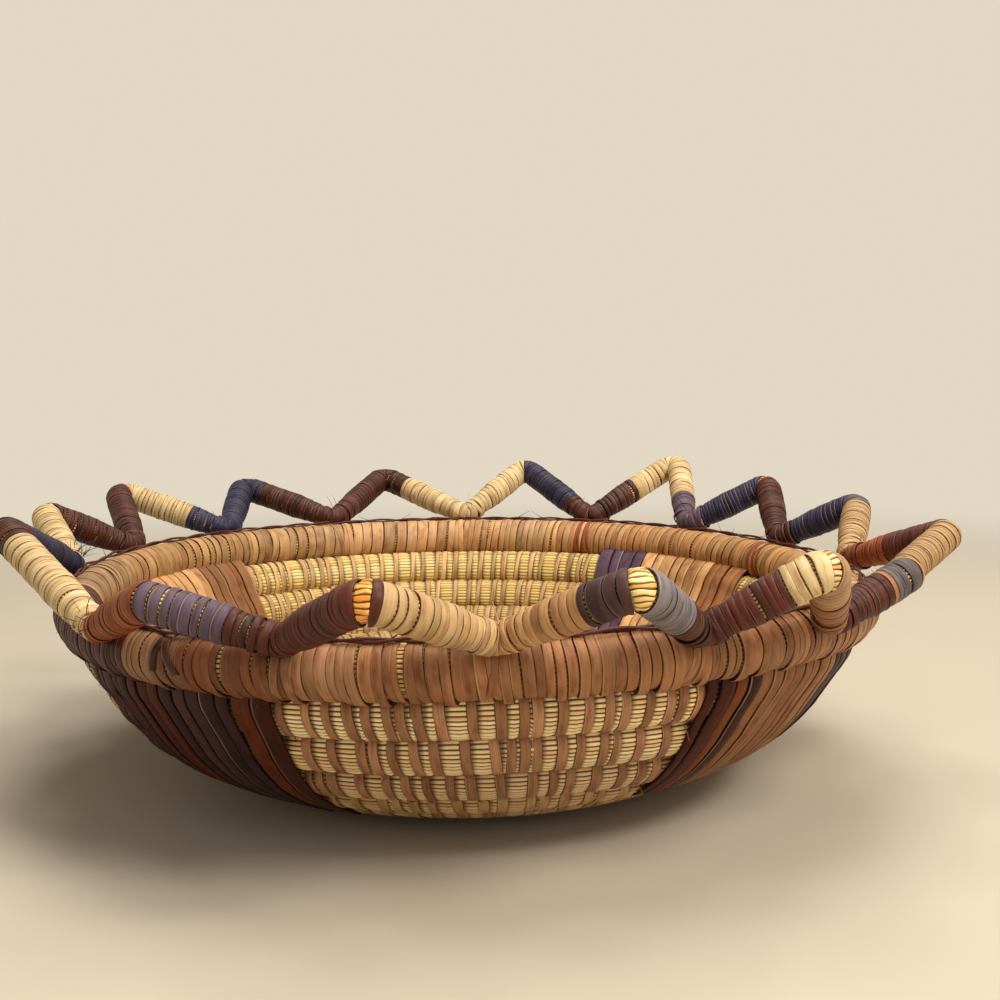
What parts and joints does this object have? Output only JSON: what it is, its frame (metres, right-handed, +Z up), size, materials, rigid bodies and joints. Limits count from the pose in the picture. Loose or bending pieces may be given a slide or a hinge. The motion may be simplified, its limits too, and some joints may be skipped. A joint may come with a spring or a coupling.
{
  "type": "coiled basket",
  "caption": "Shallow round coiled basket: a straw coil wound up into an open bowl, with a thick wrapped rim and a zigzag border lashed on top.",
  "frame": {"origin": "middle of the base, on the plane the basket stands on", "axes": "+Z up through the open mouth, -Y towards the front"},
  "size_m": [0.3523, 0.3642, 0.1044],
  "materials": {
    "straw_bundle": "matte straw",
    "cream_strip": "satin leaf strip",
    "tan_strip": "satin leaf strip",
    "brown_strip": "satin leaf strip",
    "dark_brown_strip": "satin leaf strip",
    "rust_strip": "satin leaf strip",
    "violet_strip": "satin leaf strip",
    "slate_strip": "satin leaf strip",
    "navy_strip": "satin leaf strip"
  },
  "bodies": {
    "root": {"foundation_coil": "straw_bundle", "rim_coil": "brown_strip", "zigzag_leg_01": "navy_strip", "zigzag_leg_02": "cream_strip", "zigzag_leg_03": "rust_strip", "zigzag_leg_04": "violet_strip", "zigzag_leg_05": "dark_brown_strip", "zigzag_leg_06": "cream_strip", "zigzag_leg_07": "tan_strip", "zigzag_leg_08": "slate_strip", "zigzag_leg_09": "dark_brown_strip", "zigzag_leg_10": "tan_strip", "zigzag_leg_11": "dark_brown_strip", "zigzag_leg_12": "tan_strip", "zigzag_leg_13": "tan_strip", "zigzag_leg_14": "rust_strip", "zigzag_leg_15": "cream_strip", "zigzag_leg_16": "navy_strip", "zigzag_leg_17": "brown_strip", "zigzag_leg_18": "violet_strip", "zigzag_leg_19": "cream_strip", "zigzag_leg_20": "cream_strip", "zigzag_leg_21": "navy_strip", "zigzag_leg_22": "cream_strip", "zigzag_leg_23": "cream_strip", "zigzag_leg_24": "dark_brown_strip", "zigzag_leg_25": "dark_brown_strip", "zigzag_leg_26": "navy_strip", "zigzag_leg_27": "cream_strip", "zigzag_leg_28": "dark_brown_strip", "zigzag_leg_29": "dark_brown_strip", "zigzag_leg_30": "cream_strip", "corner_lashing_01": "dark_brown_strip", "corner_lashing_02": "dark_brown_strip", "corner_lashing_03": "dark_brown_strip", "corner_lashing_04": "dark_brown_strip", "corner_lashing_05": "dark_brown_strip", "corner_lashing_06": "dark_brown_strip", "corner_lashing_07": "dark_brown_strip", "corner_lashing_08": "cream_strip", "corner_lashing_09": "dark_brown_strip", "corner_lashing_10": "cream_strip", "corner_lashing_11": "dark_brown_strip", "corner_lashing_12": "cream_strip", "corner_lashing_13": "dark_brown_strip", "corner_lashing_14": "cream_strip", "corner_lashing_15": "dark_brown_strip", "leaf_panel_front_right_darkBrown": "dark_brown_strip", "leaf_panel_front_right_tan": "tan_strip", "leaf_panel_front_right_violet": "violet_strip", "leaf_panel_back_right_brown": "brown_strip", "leaf_panel_back_right_tan": "tan_strip", "leaf_panel_back_right_violet": "violet_strip", "leaf_panel_back_left_brown": "brown_strip", "leaf_panel_back_left_tan": "tan_strip", "leaf_panel_back_left_violet": "violet_strip", "leaf_panel_front_left_darkBrown": "dark_brown_strip", "leaf_panel_front_left_violet": "violet_strip", "leaf_panel_front_left_rust": "rust_strip"}
  },
  "joints": []
}
